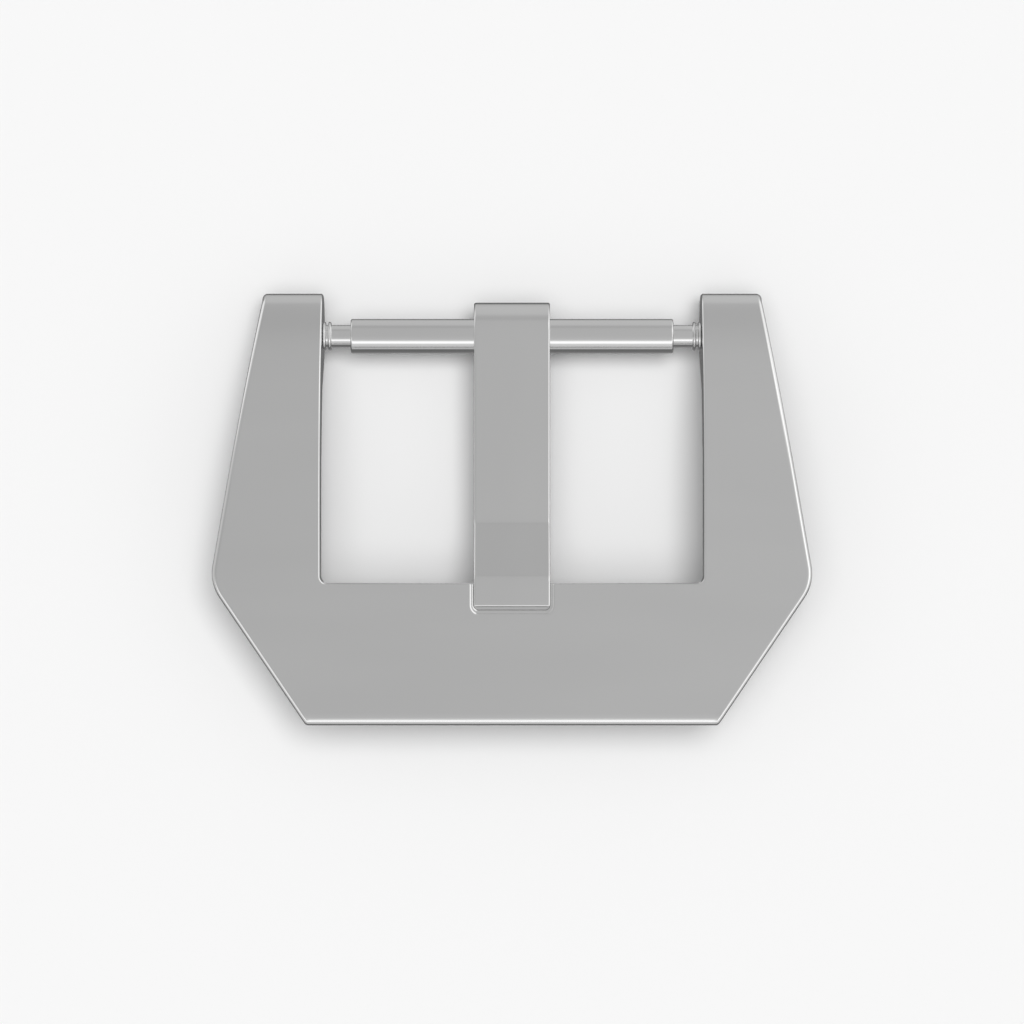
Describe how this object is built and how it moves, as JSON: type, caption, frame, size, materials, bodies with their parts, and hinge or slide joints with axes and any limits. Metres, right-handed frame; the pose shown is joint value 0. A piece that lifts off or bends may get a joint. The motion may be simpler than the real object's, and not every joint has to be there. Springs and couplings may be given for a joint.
{
  "type": "watch tang buckle",
  "caption": "Angular steel tang buckle for a 22 mm watch strap: one-piece frame, stepped tang and sprung strap bar.",
  "frame": {"origin": "the middle of the strap bar's axis, half way between the ears", "axes": "+X to the right along the strap bar, +Y towards the noses of the ears, +Z out of the top face that shows when the watch is worn"},
  "size_m": [0.0344, 0.025, 0.0072],
  "materials": {
    "frame_steel": "fine satin stainless steel, flats almost without grain, edges polished bright",
    "tang_steel": "fine satin stainless steel",
    "bar_steel": "smooth drawn stainless tube",
    "pin_steel": "turned stainless steel",
    "spring_steel": "drawn spring wire"
  },
  "bodies": {
    "frame": {"buckle_frame": "frame_steel"},
    "tang": {"tang": "tang_steel"},
    "spring_bar": {"bar_tube": "bar_steel", "bar_spring": "spring_steel"},
    "left_pin": {"left_pin": "pin_steel"},
    "right_pin": {"right_pin": "pin_steel"}
  },
  "joints": [
    {"name": "tang_swing", "type": "hinge", "parent": "frame", "child": "tang", "pos_m": [0, 0, 0], "axis": [-1, 0, 0], "range_deg": [0, 350]},
    {"name": "bar_spin", "type": "hinge", "parent": "frame", "child": "spring_bar", "pos_m": [0, 0, 0], "axis": [1, 0, 0], "continuous": true},
    {"name": "left_pin_press", "type": "slide", "parent": "spring_bar", "child": "left_pin", "axis": [1, 0, 0], "range_m": [0, 0.0011], "stiffness_N_per_m": 600, "springref_m": -0.0015, "deforming": ["bar_spring"]},
    {"name": "right_pin_press", "type": "slide", "parent": "spring_bar", "child": "right_pin", "axis": [-1, 0, 0], "range_m": [0, 0.0011], "stiffness_N_per_m": 600, "springref_m": -0.0015, "deforming": ["bar_spring"]}
  ]
}
